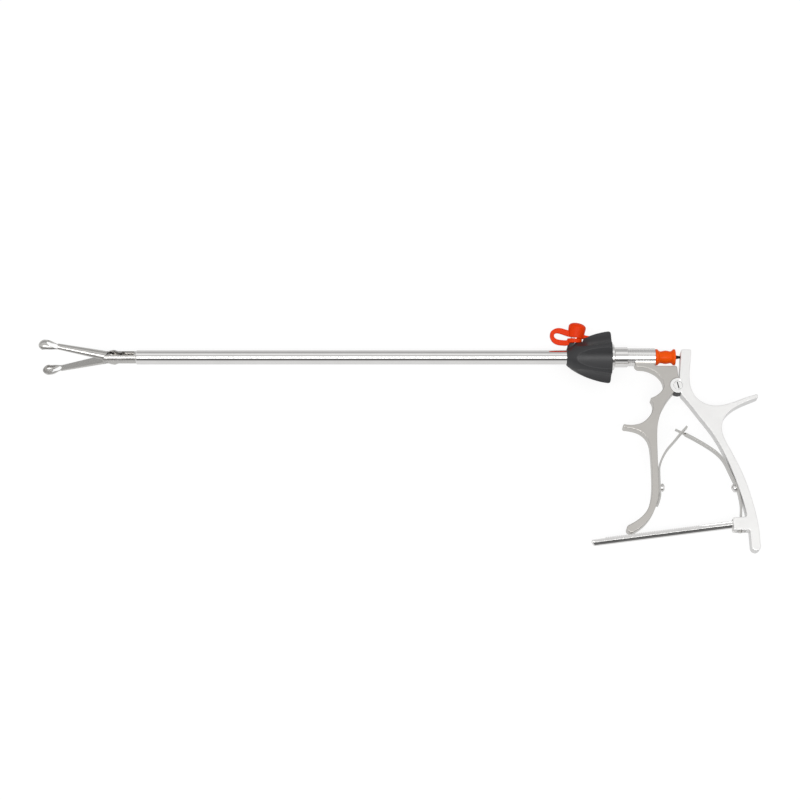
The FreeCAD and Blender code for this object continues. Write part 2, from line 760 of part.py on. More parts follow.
def round_head(seat):
    """Low domed screw head with a cross slot, standing along X from the seat."""
    head = cylinder(leaf_head_radius, at(seat, 0, 0), X, leaf_head_height)
    head = head.makeFillet(1.1, [e for e in head.Edges if e.BoundBox.XMin > seat + 1])
    shank = cylinder(leaf_screw_radius, at(-leaf_screw_depth, 0, 0), X, seat + leaf_screw_depth)
    half = screw_slot_width / 2
    slot = box((seat + leaf_head_height - screw_slot_depth, -5, -half), (seat + 5, 5, half))
    return joined(head, shank).cut(slot)


leaf_seat = leaf_thickness + 2 * seat_gap


def front_leaf_screw():
    screw = round_head(leaf_seat)
    screw.translate(at(front_face, front_screw_height, 0))
    return screw


def rear_leaf_screw():
    screw = round_head(leaf_seat + 0.3)
    screw.rotate(ORIGIN, Z, rear_screw_angle)
    screw.translate(at(rear_screw_x, rear_screw_y, 0))
    return screw


# Ratchet


def ratchet_bar():
    """Toothed bar, modelled from its hinge along -X and then laid to its slope."""
    half = bar_height / 2
    end = -bar_length
    body = slab(
        outline(
            (0, -half), ((half, 0), (0, half)), (-9, half), (-tooth_start + 2, half - tooth_height),
            (end + 3.5, half - tooth_height), ((end + 1.2, half - 1.6), (end, -half * 0.2)),
            ((end + 1.0, -half * 0.8), (end + 3.0, -half)),
        ),
        -bar_thickness / 2, bar_thickness / 2,
    )
    low_edges = [
        e for e in body.Edges
        if e.BoundBox.YMax < -half + 0.01 and e.BoundBox.XLength > 50
    ]
    body = body.makeFillet(bar_round, low_edges)
    teeth = []
    root, top = half - tooth_height - 0.3, half
    tooth_count = int((bar_length - tooth_start - 8) / tooth_pitch)
    for i in range(tooth_count):
        x = -tooth_start - i * tooth_pitch
        teeth.append(slab(
            outline(
                (x, root), (x, top), (x - 0.25, top), (x - tooth_pitch + run_gap, root + 0.3),
                (x - tooth_pitch + run_gap, root),
            ),
            -bar_thickness / 2, bar_thickness / 2,
        ))
    whole = joined(body, *teeth)
    whole = whole.cut(cylinder(ratchet_pin_radius + run_gap, at(0, 0, -10), Z, 20))
    whole.rotate(ORIGIN, Z, bar_slope)
    whole.translate(at(hinge_x, hinge_y, 0))
    return whole


def ratchet_pin():
    return cylinder(ratchet_pin_radius, at(hinge_x, hinge_y, -half_arm), Z, arm_thickness)


def ratchet_plunger():
    """Spring plunger in the floor of the ratchet block, its nose under the bar."""
    body = cylinder(plunger_radius, at(plunger_place, hinge_y - 6.2, 0), Y, 2.0)
    nose = Part.makeSphere(plunger_radius * 0.75, at(plunger_place, hinge_y - 4.2, 0))
    return joined(body, nose)


pieces = {
    "upper_jaw": placed_tool(jaw()),
    "fork": placed_tool(fork()),
    "jaw_pivot_pin": placed_tool(jaw_pin()),
    "drive_pin": placed_tool(drive_pin()),
    "pull_rod": pull_rod(),
    "ball_end": ball_end(),
    "outer_tube": rolled(outer_tube()),
    "rod_guide": rod_guide(),
    "rotation_knob": rolled(rotation_knob()),
    "knob_set_screw": rolled(knob_set_screw()),
    "knob_collar": knob_collar(),
    "flush_port": rolled(flush_port()),
    "flush_cap": rolled(flush_cap()),
    "cap_tether": rolled(cap_tether()),
    "coupling_sleeve": coupling_sleeve(),
    "rod_seal": rod_seal(),
    "front_handle": front_handle(),
    "thumb_lever": thumb_lever(),
    "pivot_screw": pivot_screw(),
    "front_leaf_spring": front_leaf(),
    "rear_leaf_spring": rear_leaf(),
    "front_leaf_screw": front_leaf_screw(),
    "rear_leaf_screw": rear_leaf_screw(),
    "ratchet_bar": ratchet_bar(),
    "ratchet_pin": ratchet_pin(),
    "ratchet_plunger": ratchet_plunger(),
}
lower = jaw()
lower.rotate(ORIGIN, X, 180)
pieces["lower_jaw"] = placed_tool(lower)

for name, shape in pieces.items():
    shape.exportStep("parts/" + name + ".step")
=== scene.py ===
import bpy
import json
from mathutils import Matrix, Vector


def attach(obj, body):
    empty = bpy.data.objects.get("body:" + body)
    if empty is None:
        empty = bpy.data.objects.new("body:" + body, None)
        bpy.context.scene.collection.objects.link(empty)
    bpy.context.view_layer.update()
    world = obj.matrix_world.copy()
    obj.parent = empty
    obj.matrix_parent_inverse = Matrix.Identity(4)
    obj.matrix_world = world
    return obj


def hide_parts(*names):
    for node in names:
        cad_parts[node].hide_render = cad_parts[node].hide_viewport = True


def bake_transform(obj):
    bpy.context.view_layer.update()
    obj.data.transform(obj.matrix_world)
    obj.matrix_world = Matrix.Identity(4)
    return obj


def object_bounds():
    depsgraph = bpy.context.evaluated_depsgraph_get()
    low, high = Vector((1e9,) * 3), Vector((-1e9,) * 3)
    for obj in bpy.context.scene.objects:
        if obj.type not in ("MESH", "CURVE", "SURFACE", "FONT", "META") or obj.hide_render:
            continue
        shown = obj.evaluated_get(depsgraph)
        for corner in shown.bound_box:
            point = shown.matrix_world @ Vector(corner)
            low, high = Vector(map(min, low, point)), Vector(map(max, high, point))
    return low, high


bl_info = {
    "name": "Grasping Forceps",
    "version": (1, 0, 0),
    "blender": (4, 5, 0),
    "location": "View3D > Sidebar > Forceps",
    "description": "Dresses a ratcheted laparoscopic grasping forceps over its CAD frame",
    "category": "Object",
}

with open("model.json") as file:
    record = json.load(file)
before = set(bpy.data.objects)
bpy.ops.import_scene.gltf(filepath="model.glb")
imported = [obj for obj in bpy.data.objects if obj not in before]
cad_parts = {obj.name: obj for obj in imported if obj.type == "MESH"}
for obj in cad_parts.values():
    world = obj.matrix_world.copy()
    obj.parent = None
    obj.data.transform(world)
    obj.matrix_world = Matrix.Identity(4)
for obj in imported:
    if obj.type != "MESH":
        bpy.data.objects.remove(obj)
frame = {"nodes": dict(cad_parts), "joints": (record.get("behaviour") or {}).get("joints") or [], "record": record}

import json
import math

import bmesh
import bpy
from mathutils import Matrix, Vector

MM = 0.001
CAD_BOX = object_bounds()
JOINTS = {joint["name"]: joint for joint in frame["joints"]}
PIVOT = Vector(JOINTS["lever_squeeze"]["pos_m"])
HINGE = Vector(JOINTS["ratchet_swing"]["pos_m"])

# Angles in degrees below which neighbouring faces are shaded as one
ALL_SMOOTH = 180
CASTING_EDGE = 30
SHEET_EDGE = 35


# Selecting and shaping


def deselect():
    if bpy.context.object and bpy.context.object.mode != "OBJECT":
        bpy.ops.object.mode_set(mode="OBJECT")
    bpy.ops.object.select_all(action="DESELECT")


def only(obj):
    deselect()
    obj.select_set(True)
    bpy.context.view_layer.objects.active = obj


def editing(obj):
    only(obj)
    bpy.ops.object.mode_set(mode="EDIT")


def freeze():
    """Writes the active object's place, turn and scale into its mesh."""
    bpy.ops.object.transform_apply(location=True, rotation=True, scale=True)


def settle(obj):
    """Writes the object's place and modifiers into its mesh."""
    only(obj)
    for modifier in list(obj.modifiers):
        bpy.ops.object.modifier_apply(modifier=modifier.name)
    freeze()


def placed(obj, matrix):
    """Moves a form by a matrix and writes the move into its mesh."""
    only(obj)
    obj.matrix_world = matrix
    freeze()


def laid(obj, place, along=(1, 0, 0)):
    """Moves a form that was made along X at the origin to its place and way."""
    only(obj)
    obj.rotation_mode = "QUATERNION"
    obj.rotation_quaternion = Vector((1, 0, 0)).rotation_difference(Vector(along))
    obj.location = Vector(place) * MM
    freeze()
    return obj


def block(place, size, turn=0):
    """Box with its middle at a place and its three sizes, in millimetres, turned about X."""
    deselect()
    bpy.ops.mesh.primitive_cube_add(size=1, location=[v * MM for v in place])
    box = bpy.context.object
    box.scale = [v * MM for v in size]
    box.rotation_euler = (turn, 0, 0)
    settle(box)
    return box


def turned_form(stations, sides=96):
    """Disc drawn out along X ring by ring; stations are (place, radius) in millimetres."""
    deselect()
    (x, radius), *rest = [(a * MM, b * MM) for a, b in stations]
    bpy.ops.mesh.primitive_circle_add(
        vertices=sides, radius=radius, fill_type="NGON", location=(x, 0, 0), rotation=(0, math.pi / 2, 0)
    )
    obj = bpy.context.object
    settle(obj)
    editing(obj)
    bpy.ops.mesh.select_all(action="SELECT")
    for x_next, radius_next in rest:
        bpy.ops.mesh.extrude_region_move(TRANSFORM_OT_translate={"value": (x_next - x, 0, 0)})
        k = radius_next / radius
        bpy.ops.transform.resize(value=(1, k, k), center_override=(x_next, 0, 0))
        x, radius = x_next, radius_next
    bpy.ops.mesh.select_all(action="SELECT")
    bpy.ops.mesh.normals_make_consistent(inside=False)
    deselect()
    return obj


def through(points, steps=6):
    """Points of a smooth (Catmull-Rom) line through the given ones."""
    ends = [2 * Vector(points[0]) - Vector(points[1])] + [Vector(p) for p in points]
    ends.append(2 * Vector(points[-1]) - Vector(points[-2]))
    line = []
    for a, b, c, d in zip(ends, ends[1:], ends[2:], ends[3:]):
        for i in range(steps):
            t = i / steps
            square = (2 * a - 5 * b + 4 * c - d) * t ** 2
            cube = (3 * b - a - 3 * c + d) * t ** 3
            line.append(0.5 * (2 * b + (c - a) * t + square + cube))
    return line + [ends[-2]]


def drawn_form(path, width, thick, widths=None, thicks=None):
    """Flat section drawn out along a path in the XY plane; its width lies along Z."""
    path = [Vector((p[0], p[1], 0)) * MM for p in path]
    runs = [b - a for a, b in zip(path, path[1:])]
    ways = [runs[0]] + [a.normalized() + b.normalized() for a, b in zip(runs, runs[1:])] + [runs[-1]]
    turns = [math.atan2(w.y, w.x) for w in ways]
    deselect()
    bpy.ops.mesh.primitive_plane_add(size=1, location=path[0])
    obj = bpy.context.object
    obj.scale = (thick * MM, width * MM, 1)
    obj.rotation_euler = (math.pi / 2, 0, turns[0] - math.pi / 2)
    settle(obj)
    editing(obj)
    bpy.ops.mesh.select_all(action="SELECT")
    for i in range(1, len(path)):
        bpy.ops.mesh.extrude_region_move(TRANSFORM_OT_translate={"value": path[i] - path[i - 1]})
        turn = (turns[i] - turns[i - 1] + math.pi) % (2 * math.pi) - math.pi
        bpy.ops.transform.rotate(value=-turn, orient_axis="Z", center_override=path[i])
        if widths:
            k = widths[i] / widths[i - 1]
            bpy.ops.transform.resize(value=(1, 1, k), center_override=path[i])
        if thicks:
            k = thicks[i] / thicks[i - 1]
            bpy.ops.transform.resize(value=(k, k, 1), center_override=path[i])
    bpy.ops.mesh.select_all(action="SELECT")
    bpy.ops.mesh.normals_make_consistent(inside=False)
    deselect()
    return obj


def cut(obj, cutter, operation="DIFFERENCE"):
    only(obj)
    boolean = obj.modifiers.new("cut", "BOOLEAN")
    boolean.operation = operation
    boolean.solver = "EXACT"
    boolean.object = cutter
    bpy.ops.object.modifier_apply(modifier=boolean.name)
    bpy.data.objects.remove(cutter)


def bevelled(obj, width, segments=2, angle=30):
    only(obj)
    bevel = obj.modifiers.new("edges", "BEVEL")
    bevel.width = width * MM
    bevel.segments = segments
    bevel.limit_method = "ANGLE"
    bevel.angle_limit = math.radians(angle)
    bpy.ops.object.modifier_apply(modifier=bevel.name)


def moulded(obj, grain, passes):
    """Joins a form's parts into one skin and softens its edges as a mould does."""
    only(obj)
    remesh = obj.modifiers.new("skin", "REMESH")
    remesh.mode = "VOXEL"
    remesh.voxel_size = grain * MM
    remesh.use_smooth_shade = True
    bpy.ops.object.modifier_apply(modifier=remesh.name)
    smooth = obj.modifiers.new("soften", "SMOOTH")
    smooth.factor = 0.5
    smooth.iterations = passes
    bpy.ops.object.modifier_apply(modifier=smooth.name)


def joined(*parts):
    deselect()
    for part in parts:
        part.select_set(True)
    bpy.context.view_layer.objects.active = parts[0]
    bpy.ops.object.join()
    return bpy.context.object


def skin_of(node):
    """Merged copy of a CAD node, to be finished as a casting or forging."""
    only(frame["nodes"][node])
    bpy.ops.object.duplicate()
    obj = bpy.context.object
    obj.parent = None
    obj.matrix_world = Matrix.Identity(4)
    editing(obj)
    bpy.ops.mesh.select_all(action="SELECT")
    bpy.ops.mesh.remove_doubles(threshold=0.000001)
    bpy.ops.mesh.dissolve_limited(angle_limit=math.radians(0.2))
    deselect()
    return obj


def paint(obj, finish, where):
    """Gives another finish to the faces whose middle (mm) and normal pass the test."""
    obj.data.materials.append(FINISHES[finish])
    for face in obj.data.polygons:
        if where(face.center / MM, face.normal):
            face.material_index = len(obj.data.materials) - 1


def round_edges(obj, width, segments, where):
    """Bevels the edges whose two ends (mm) both pass the test."""
    editing(obj)
    bpy.ops.mesh.select_mode(type="EDGE")
    mesh = bmesh.from_edit_mesh(obj.data)
    for edge in mesh.edges:
        edge.select = all(where(v.co / MM) for v in edge.verts)
    bmesh.update_edit_mesh(obj.data)
    bpy.ops.mesh.bevel(offset=width * MM, segments=segments, affect="EDGES")
    deselect()


def finish_piece(obj, name, finish, body, *nodes, slot, angle=SHEET_EDGE):
    """Shades a form so that its flats stay flat, names it and puts it on its body; a blended piece has none."""
    obj.name = name
    obj.data.name = name
    settle(obj)
    bpy.ops.object.shade_smooth_by_angle(angle=math.radians(angle))
    if angle < ALL_SMOOTH:
        weighted = obj.modifiers.new("flats", "WEIGHTED_NORMAL")
        weighted.mode = "FACE_AREA"
        weighted.weight = 100
        weighted.keep_sharp = True
        bpy.ops.object.modifier_apply(modifier=weighted.name)
    obj.data.materials.clear()
    obj.data.materials.append(FINISHES[finish])
    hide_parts(*nodes)
    if body:
        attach(obj, body)


# Materials


class Finish:
    """A procedural material on the object's own coordinates, built around one shader."""

    def __init__(self, name, colour, metallic, roughness):
        self.material = bpy.data.materials.new(name)
        self.material.use_nodes = True
        self.tree = self.material.node_tree
        self.shader = self.tree.nodes["Principled BSDF"]
        self.shader.inputs["Base Color"].default_value = (*colour, 1)
        self.shader.inputs["Metallic"].default_value = metallic
        self.shader.inputs["Roughness"].default_value = roughness
        self.place = self.tree.nodes.new("ShaderNodeTexCoord").outputs["Object"]

    def node(self, kind, **settings):
        made = self.tree.nodes.new(kind)
        for key, value in settings.items():
            if key.startswith("in_"):
                made.inputs[key[3:].replace("_", " ")].default_value = value
            else:
                setattr(made, key, value)
        return made

    def link(self, source, target):
        self.tree.links.new(source, target)

    def noise(self, scale, detail, rough, stretch=None):
        made = self.node("ShaderNodeTexNoise", in_Scale=scale, in_Detail=detail, in_Roughness=rough)
        place = self.place
        if stretch:
            mapping = self.node("ShaderNodeMapping", in_Scale=stretch)
            self.link(self.place, mapping.inputs["Vector"])
            place = mapping.outputs["Vector"]
        self.link(place, made.inputs["Vector"])
        return made.outputs["Fac"]

    def spread(self, source, low, high, start=0.3, end=0.7):
        made = self.node("ShaderNodeMapRange")
        made.inputs["From Min"].default_value = start
        made.inputs["From Max"].default_value = end
        made.inputs["To Min"].default_value = low
        made.inputs["To Max"].default_value = high
        self.link(source, made.inputs["Value"])
        return made.outputs["Result"]

    def tones(self, source, *stops):
        ramp = self.node("ShaderNodeValToRGB")
        band = ramp.color_ramp
        while len(band.elements) < len(stops):
            band.elements.new(0.5)
        for element, (where, colour) in zip(band.elements, stops):
            element.position = where
            element.color = (*colour, 1)
        self.link(source, ramp.inputs["Fac"])
        self.link(ramp.outputs["Color"], self.shader.inputs["Base Color"])
        return ramp.outputs["Color"]

    def relief(self, source, strength, depth):
        bump = self.node("ShaderNodeBump", in_Strength=strength, in_Distance=depth)
        self.link(source, bump.inputs["Height"])
        self.link(bump.outputs["Normal"], self.shader.inputs["Normal"])

    def roughness(self, value):
        self.link(value, self.shader.inputs["Roughness"])


def shade(colour, amount):
    return tuple(c * amount for c in colour)


def walls(made, colour, wall, roughness):
    """Blasts a plate's flat faces; its rounded edges and side walls stay smoother, and the side walls get painted
    shading: their colour times the wall factor.
    """
    facing = made.node("ShaderNodeSeparateXYZ")
    made.link(made.node("ShaderNodeNewGeometry").outputs["Normal"], facing.inputs[0])
    flat = made.node("ShaderNodeMath", operation="ABSOLUTE")
    made.link(facing.outputs["Z"], flat.inputs[0])
    mix = made.node("ShaderNodeMix", data_type="RGBA", blend_type="MULTIPLY")
    mix.inputs["Factor"].default_value = 1.0
    made.link(colour, mix.inputs["A"])
    # Painted shading: side walls take the wall factor, flat faces keep their colour
    ramp = made.node("ShaderNodeValToRGB")
    ramp.color_ramp.elements[0].position = 0.35
    ramp.color_ramp.elements[0].color = (wall, wall, wall, 1)
    ramp.color_ramp.elements[1].position = 0.85
    ramp.color_ramp.elements[1].color = (1, 1, 1, 1)
    made.link(flat.outputs[0], ramp.inputs["Fac"])
    made.link(ramp.outputs["Color"], mix.inputs["B"])
    made.link(mix.outputs["Result"], made.shader.inputs["Base Color"])
    made.roughness(made.spread(flat.outputs[0], 0.3, roughness, 0.93, 0.99))


def blasted_steel(name, colour, roughness, wall=0.9, metallic=1.0):
    """Bead-blasted casting: fine matt grain, faint clouding where hands have rubbed it, and painted shading on the
    side walls.
    """
    made = Finish(name, colour, metallic, roughness)
    cloud = made.noise(70, 4, 0.6)
    tone = made.tones(cloud, (0.25, shade(colour, 0.94)), (0.75, colour))
    walls(made, tone, wall, roughness)
    grain = made.noise(2600, 3, 0.7)
    made.relief(grain, 0.25, 0.00006)
    return made.material


def turned_steel(name, colour, roughness, along=(25, 2200, 2200), depth=0.00001):
    """Polished steel with drawn or turned lines along one way."""
    made = Finish(name, colour, 1.0, roughness)
    lines = made.noise(1, 4, 0.65, stretch=along)
    cloud = made.noise(90, 3, 0.5)
    made.tones(cloud, (0.3, shade(colour, 0.96)), (0.7, colour))
    made.roughness(made.spread(lines, roughness * 0.7, roughness * 1.4))
    made.relief(lines, 0.1, depth)
    return made.material


def moulded_plastic(name, colour, roughness):
    """Black heat-proof plastic with a spark-eroded satin skin."""
    made = Finish(name, colour, 0.0, roughness)
    skin = made.noise(1500, 3, 0.6)
    wear = made.noise(45, 5, 0.6)
    made.tones(wear, (0.3, colour), (0.8, shade(colour, 1.35)))
    made.roughness(made.spread(wear, roughness * 0.85, roughness * 1.15))
    made.relief(skin, 0.35, 0.00008)
    return made.material


def silicone(name, colour, roughness):
    """Soft silicone, glossy where handled, with a faint moulding grain."""
    made = Finish(name, colour, 0.0, roughness)
    made.shader.inputs["Specular IOR Level"].default_value = 0.1
    made.shader.inputs["Subsurface Weight"].default_value = 0.12
    made.shader.inputs["Subsurface Radius"].default_value = (0.0016, 0.0006, 0.0002)
    made.shader.inputs["Subsurface Scale"].default_value = 1.0
    cloud = made.noise(160, 4, 0.6)
    made.tones(cloud, (0.25, shade(colour, 0.9)), (0.75, colour))
    made.roughness(made.spread(cloud, roughness * 0.8, roughness * 1.2))
    made.relief(made.noise(1800, 2, 0.5), 0.15, 0.00005)
    return made.material


def colour_prop(words, default):
    return bpy.props.FloatVectorProperty(
        name=words, description=words, subtype="COLOR", size=3, min=0, max=1, default=default
    )


def tone_prop(name, words, default):
    return bpy.props.FloatProperty(name=name, description=words, default=default)


def length_prop(words, default):
    return bpy.props.FloatProperty(name=words, description=words, unit="LENGTH", default=default, precision=5)


class FinishSettings(bpy.types.PropertyGroup):
    front_steel: colour_prop("Colour of the fixed arm's blasted steel", (0.60, 0.58, 0.55))
    lever_steel: colour_prop("Colour of the lever's blasted steel", (0.95, 0.945, 0.935))
    bright_steel: colour_prop("Colour of the polished shaft steel", (0.86, 0.85, 0.84))
    tool_steel: colour_prop("Colour of the jaws and springs", (0.60, 0.59, 0.57))
    knob_black: colour_prop("Colour of the knob's plastic", (0.024, 0.024, 0.026))
    cap_orange: colour_prop("Colour of the port cap's silicone", (0.84, 0.045, 0.001))
    seal_orange: colour_prop("Colour of the rod seal's silicone", (0.93, 0.10, 0.002))


class StageSettings(bpy.types.PropertyGroup):
    elevation: bpy.props.FloatProperty(
        name="Elevation",
        description="Camera's height over the table",
        subtype="ANGLE",
        default=math.radians(70),
    )
    distance: length_prop("Distance from the camera to the middle of the view", 1.3894)
    view_width: length_prop("Width of the view at that distance", 0.5510)
    target: bpy.props.FloatVectorProperty(
        name="Target",
        description="Point at the middle of the view",
        unit="LENGTH",
        default=(-0.1155, -0.03154, 0),
        precision=5,
    )
    softbox: bpy.props.FloatProperty(
        name="Softbox", description="Power of the softbox", unit="POWER", default=10
    )
    table_glow: tone_prop("Table glow", "White of the table to the camera", 0.84)
    floor: tone_prop("Floor", "Tone of the floor in the steel", 0.75)
    flag: tone_prop("Flag", "Tone of the dark flag in front", 0.08)
    key: tone_prop("Key", "Tone of the strip over the camera", 1.15)
    top: tone_prop("Top", "Tone of the strip overhead", 1.0)
    back: tone_prop("Back", "Tone of the room behind", 0.45)


def make_finishes():
    s = bpy.context.scene.forceps_finish
    return {
        # The wall factors paint lighter side walls on the fixed arm and darker ones on the lever, as painted
        # shading
        "front": blasted_steel("blasted_steel_front", s.front_steel, 0.45, wall=1.05),
        "lever": blasted_steel("blasted_steel_lever", s.lever_steel, 0.55, wall=0.85, metallic=0.7),
        # Near-black steel painted where parts lie in shade, standing in for shadow
        "shadow": blasted_steel("painted_shadow_steel", (0.03, 0.03, 0.03), 0.5),
        "bar": turned_steel("ground_bar_steel", s.bright_steel, 0.14, along=(60, 1500, 1500)),
        "barrel": turned_steel("satin_barrel_steel", s.bright_steel, 0.24, along=(900, 12, 12)),
        "bright": turned_steel("polished_tube_steel", s.bright_steel, 0.09, depth=0.000002),
        "turned": turned_steel("turned_steel", s.bright_steel, 0.1, along=(900, 12, 12)),
        "tool": turned_steel("ground_tool_steel", s.tool_steel, 0.26, along=(160, 900, 900)),
        "spring": turned_steel("rolled_spring_steel", s.tool_steel, 0.24, along=(60, 60, 1800)),
        "knob": moulded_plastic("knob_plastic", s.knob_black, 0.42),
        "cap": silicone("cap_silicone", s.cap_orange, 0.4),
        "seal": silicone("seal_silicone", s.seal_orange, 0.33),
    }


FINISHES = {}

# CAD pieces that show as they are and aren't of tool steel
NODE_FINISH = {"flush_port": "turned"}


class FORCEPS_OT_finishes(bpy.types.Operator):
    """Make the steels, plastics and silicones, and put them on the CAD pieces"""

    bl_idname = "forceps.finishes"
    bl_label = "Finishes"

    def execute(self, context):
        FINISHES.update(make_finishes())
        for name, node in frame["nodes"].items():
            node.data.materials.clear()
            node.data.materials.append(FINISHES[NODE_FINISH.get(name, "tool")])
        return {"FINISHED"}


# Turning knob, port and seal


class KnobSettings(bpy.types.PropertyGroup):
    radius: length_prop("Radius of the knob's rear edge", 0.018)
    scoop_radius: length_prop("Radius of a finger scoop", 0.012)
    scoop_front: length_prop("Depth line of a scoop where it starts", 0.0104)
    scoop_rear: length_prop("Depth line of a scoop at the rear edge", 0.0142)
    scoops: bpy.props.IntProperty(name="Scoops", description="Number of finger scoops", default=6)
    phase: bpy.props.FloatProperty(
        name="Phase", description="Turn of the first scoop", subtype="ANGLE", default=math.radians(53)
    )


PORT_UP = Vector(JOINTS["cap_pull"]["axis"]).normalized()
PORT_FOOT = Vector((3.5, 0, 0))
PORT_SIDE = (PORT_UP * PORT_UP.x - Vector((1, 0, 0))).normalized()
RING_TILT = math.radians(11)
SEAT_HEIGHT = 10.3
CAP_LOW = 13.7
RING_LOW = 11.02

# Cap: place above its rim and radius
CAP_PROFILE = (
    (0, 4.6), (0, 5.2), (0.4, 5.5), (3, 5.75), (6.2, 6.0), (7.4, 6.05),
    (8.2, 5.9), (9.0, 5.3), (9.7, 4.3), (10.2, 2.9), (10.45, 1.3),
)

# Strap: height up the port, place towards the jaws, and thickness
STRAP = (
    (13.1, -4.2, 2.6), (12.5, -1.9, 2.8), (11.7, 1.0, 3.2), (10.1, 3.4, 3.6), (9.0, 5.6, 3.8),
    (8.6, 8.2, 3.8), (8.4, 10.9, 3.8), (8.8, 13.3, 3.5), (10.1, 15.2, 3.0), (12.0, 16.2, 2.8),
    (14.4, 15.9, 3.0), (16.0, 13.7, 3.6), (16.4, 11.1, 4.0), (16.1, 8.3, 4.1), (15.8, 5.5, 4.2),
    (15.8, 2.8, 4.2), (17.0, -0.4, 3.6),
)
STRAP_WIDTH = 4.6

# Rod seal: place along the shaft and radius
SEAL_PROFILE = (
    (61.24, 3.0), (61.26, 5.2), (61.4, 5.5), (61.8, 5.66), (62.6, 5.68), (63.2, 5.5), (63.7, 4.9),
    (64.4, 4.3), (65.2, 4.12), (66.2, 4.25), (67.4, 4.55), (68.6, 4.7), (69.8, 4.6), (70.9, 4.35),
    (71.9, 4.15), (72.7, 4.35), (73.3, 4.9), (73.8, 5.5), (74.3, 5.68), (75.0, 5.66), (75.3, 5.45),
    (75.4, 5.0), (75.3, 2.6), (74.8, 2.2), (74.6, 1.56),
)


def up_port(height):
    return PORT_FOOT + PORT_UP * height


class FORCEPS_OT_knob(bpy.types.Operator):
    """Mould the turning knob with its finger scoops and the boss for the port"""

    bl_idname = "forceps.knob"
    bl_label = "Turning knob"

    def execute(self, context):
        s = context.scene.forceps_knob
        r = s.radius / MM
        blank = turned_form([
            (0, 5.6), (0.3, 6.1), (1.0, 6.6), (2.2, 7.6), (3.8, r * 0.49), (6.0, r * 0.565), (8.2, r * 0.635),
            (10.4, r * 0.695), (12.6, r * 0.75), (14.8, r * 0.8), (17.1, r * 0.845), (19.3, r * 0.885),
            (21.5, r * 0.92), (24, r * 0.955), (26.5, r * 0.98), (28.8, r), (29.8, r * 0.992), (30.4, r * 0.96),
            (30.6, r * 0.9), (30.6, 9.5), (31.0, 9.3),
        ], 144)
        first, last = s.scoop_front / MM, s.scoop_rear / MM
        start, length, radius = 6.4, 24.6, s.scoop_radius / MM
        middle, reach = 15, 70
        rise = math.atan2(last - first, length)
        for i in range(s.scoops):
            turn = Matrix.Rotation(s.phase + i * 2 * math.pi / s.scoops, 3, "X")
            along = turn @ Vector((math.cos(rise), math.sin(rise), 0))
            foot = turn @ Vector((start, first + radius / math.cos(rise), 0))
            deselect()
            bpy.ops.mesh.primitive_cylinder_add(vertices=128, radius=radius * MM, depth=reach * MM)
            cutter = bpy.context.object
            cutter.rotation_euler = (0, math.pi / 2, 0)
            settle(cutter)
            laid(cutter, foot + along * middle, along)
            cut(blank, cutter)
        boss = laid(turned_form([(4, 4.3), (10.7, 4.3), (11.0, 4.0)]), up_port(0), PORT_UP)
        cut(blank, boss, "UNION")
        seat = PORT_UP + PORT_SIDE * math.tan(RING_TILT)
        spot = laid(turned_form([(-0.1, 6.5), (14, 6.5)]), up_port(SEAT_HEIGHT), seat)
        cut(blank, spot)
        bore = turned_form([(-1, 5.02), (32, 5.02)])
        cut(blank, bore)
        moulded(blank, 0.3, 5)
        finish_piece(
            blank, "turning_knob", "knob", "shaft", "rotation_knob", slot="knob_plastic", angle=ALL_SMOOTH
        )
        return {"FINISHED"}


class FORCEPS_OT_port_cap(bpy.types.Operator):
    """Mould the port's silicone cap with its pull tab, and the tether that holds it"""

    bl_idname = "forceps.port_cap"
    bl_label = "Port cap and tether"

    def execute(self, context):
        self.cap()
        self.tether()
        return {"FINISHED"}

    def cap(self):
        cap = turned_form([(CAP_LOW + x, radius) for x, radius in CAP_PROFILE])
        tab = block((CAP_LOW + 1.7, -7.6, 0), (2.7, 6.0, STRAP_WIDTH))
        bevelled(tab, 1.0, 3)
        cap = joined(cap, tab)
        self.upright(cap)
        moulded(cap, 0.22, 6)
        finish_piece(cap, "port_cap", "cap", "cap", "flush_cap", slot="orange_silicone", angle=ALL_SMOOTH)

    def upright(self, obj):
        """Stands a form made along X on the port; its +Y side turns to the jaws."""
        place = Matrix((PORT_UP, PORT_SIDE, PORT_UP.cross(PORT_SIDE))).transposed().to_4x4()
        place.translation = PORT_FOOT * MM
        placed(obj, place)

    def tether(self):
        """Ring under the port's collar and a strap that loops back to the side of the cap."""
        ring = turned_form([(-0.6, 4.8), (-0.4, 5.1), (2.1, 5.1), (2.4, 4.8)])
        laid(ring, (RING_LOW - 0.1, 0, 0), (1, math.tan(RING_TILT), 0))
        path = through([(height, side) for height, side, thick in STRAP], 5)
        thicks = through([(thick, 0) for height, side, thick in STRAP], 5)
        band = drawn_form(path, STRAP_WIDTH, STRAP[0][2], thicks=[t.x for t in thicks])
        bevelled(band, 0.9, 3)
        tether = joined(ring, band)
        self.upright(tether)
        moulded(tether, 0.2, 6)
        hole = laid(turned_form([(RING_LOW - 6, 2.55), (RING_LOW + 2.5, 2.55)]), up_port(0), PORT_UP)
        cut(tether, hole)
        finish_piece(
            tether, "cap_tether_strap", "cap", None, "cap_tether", slot="orange_silicone", angle=ALL_SMOOTH
        )
        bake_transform(tether)


class FORCEPS_OT_seal(bpy.types.Operator):
    """Turn the rod's silicone seal behind the barrel"""

    bl_idname = "forceps.seal"
    bl_label = "Rod seal"

    def execute(self, context):
        seal = turned_form(SEAL_PROFILE)
        finish_piece(
            seal, "rod_seal_boot", "seal", "handle", "rod_seal", slot="seal_silicone", angle=ALL_SMOOTH
        )
        return {"FINISHED"}


# Springs and screws


